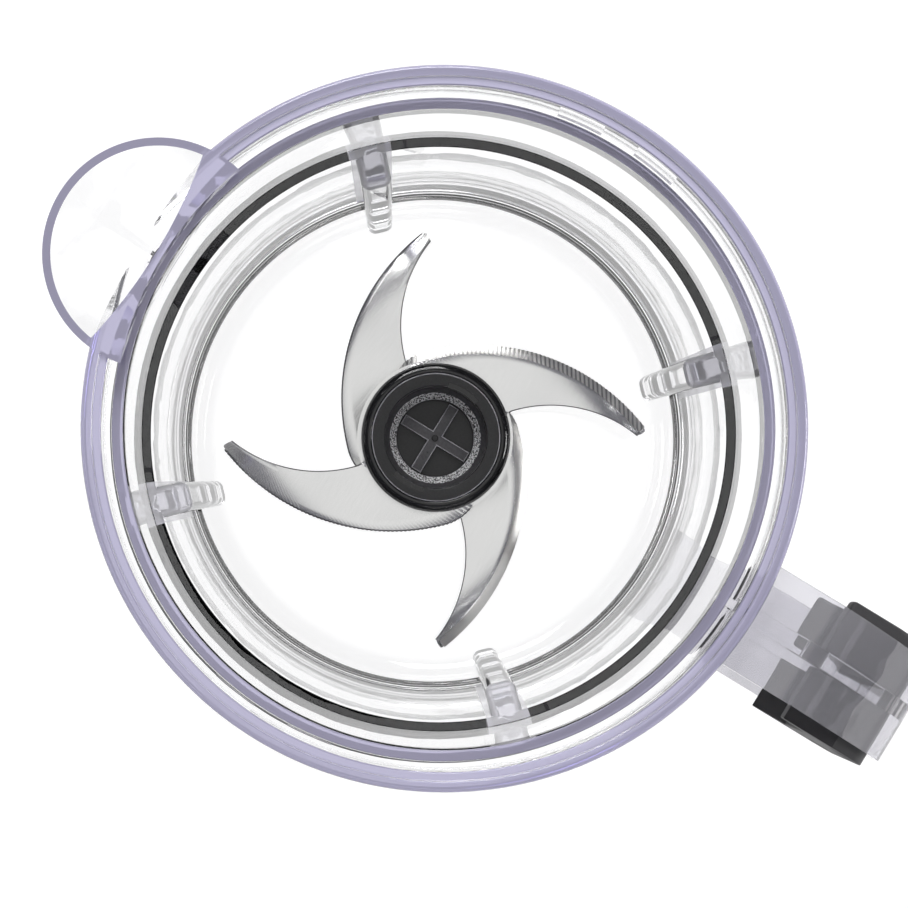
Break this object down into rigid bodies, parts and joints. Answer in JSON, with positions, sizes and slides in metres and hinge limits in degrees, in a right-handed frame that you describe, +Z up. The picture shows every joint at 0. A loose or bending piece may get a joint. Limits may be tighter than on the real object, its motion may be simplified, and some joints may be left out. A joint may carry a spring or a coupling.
{
  "type": "food processor",
  "caption": "Clear food processor jug with pouring spout, lid groove, loop handle with dark grip, stirring ribs and a lift-out curved-wing blade unit turned from above.",
  "frame": {"origin": "on the jug's axis, in the plane of the foot ring's lower face that it stands on", "axes": "+Z up along the jug's axis to the mouth, +X towards the handle, spout on -X, mirror plane of the jug is XZ"},
  "size_m": [0.2231, 0.16, 0.14],
  "materials": {
    "clear_copolyester": "clear moulded copolyester, edges tinted lavender",
    "grip_elastomer": "satin soft-touch elastomer",
    "foot_rubber": "satin non-slip elastomer",
    "seal_rubber": "smooth nitrile",
    "polished_steel": "turned and polished stainless steel",
    "blade_steel": "stamped, ground and tumble-polished stainless steel",
    "black_nylon": "moulded glass-filled nylon",
    "gloss_black": "glossy moulded plastic",
    "drive_nylon": "moulded nylon with worn edges",
    "bearing_acetal": "machined acetal"
  },
  "bodies": {
    "jug": {"jug_wall": "clear_copolyester", "jug_floor": "clear_copolyester", "jug_skirt": "clear_copolyester", "jug_ribs": "clear_copolyester", "rim_collar": "clear_copolyester", "handle_frame": "clear_copolyester", "grip_cheek_left": "grip_elastomer", "grip_cheek_right": "grip_elastomer", "grip_screws": "polished_steel", "foot_ring": "foot_rubber", "pivot_pin": "polished_steel", "pin_seal": "seal_rubber", "pin_washer": "polished_steel", "pin_lock_washer": "polished_steel", "pin_nut": "polished_steel"},
    "blade_carrier": {"bearing_sleeve": "polished_steel", "thrust_washer": "bearing_acetal", "retaining_clip": "polished_steel"},
    "blade_rotor": {"hub_body": "black_nylon", "hub_ring": "gloss_black", "drive_cross": "drive_nylon", "lower_bush": "bearing_acetal", "upper_bush": "bearing_acetal", "rotor_seal": "seal_rubber", "upper_blades": "blade_steel", "lower_blades": "blade_steel", "blade_spacer": "black_nylon", "blade_washer": "polished_steel", "blade_nut": "polished_steel"}
  },
  "joints": [
    {"name": "blade_lift", "type": "slide", "parent": "jug", "child": "blade_carrier", "axis": [0, 0, 1], "range_m": [0, 0.13]},
    {"name": "blade_spin", "type": "hinge", "parent": "blade_carrier", "child": "blade_rotor", "pos_m": [0, 0, 0.03], "axis": [0, 0, 1], "continuous": true}
  ]
}
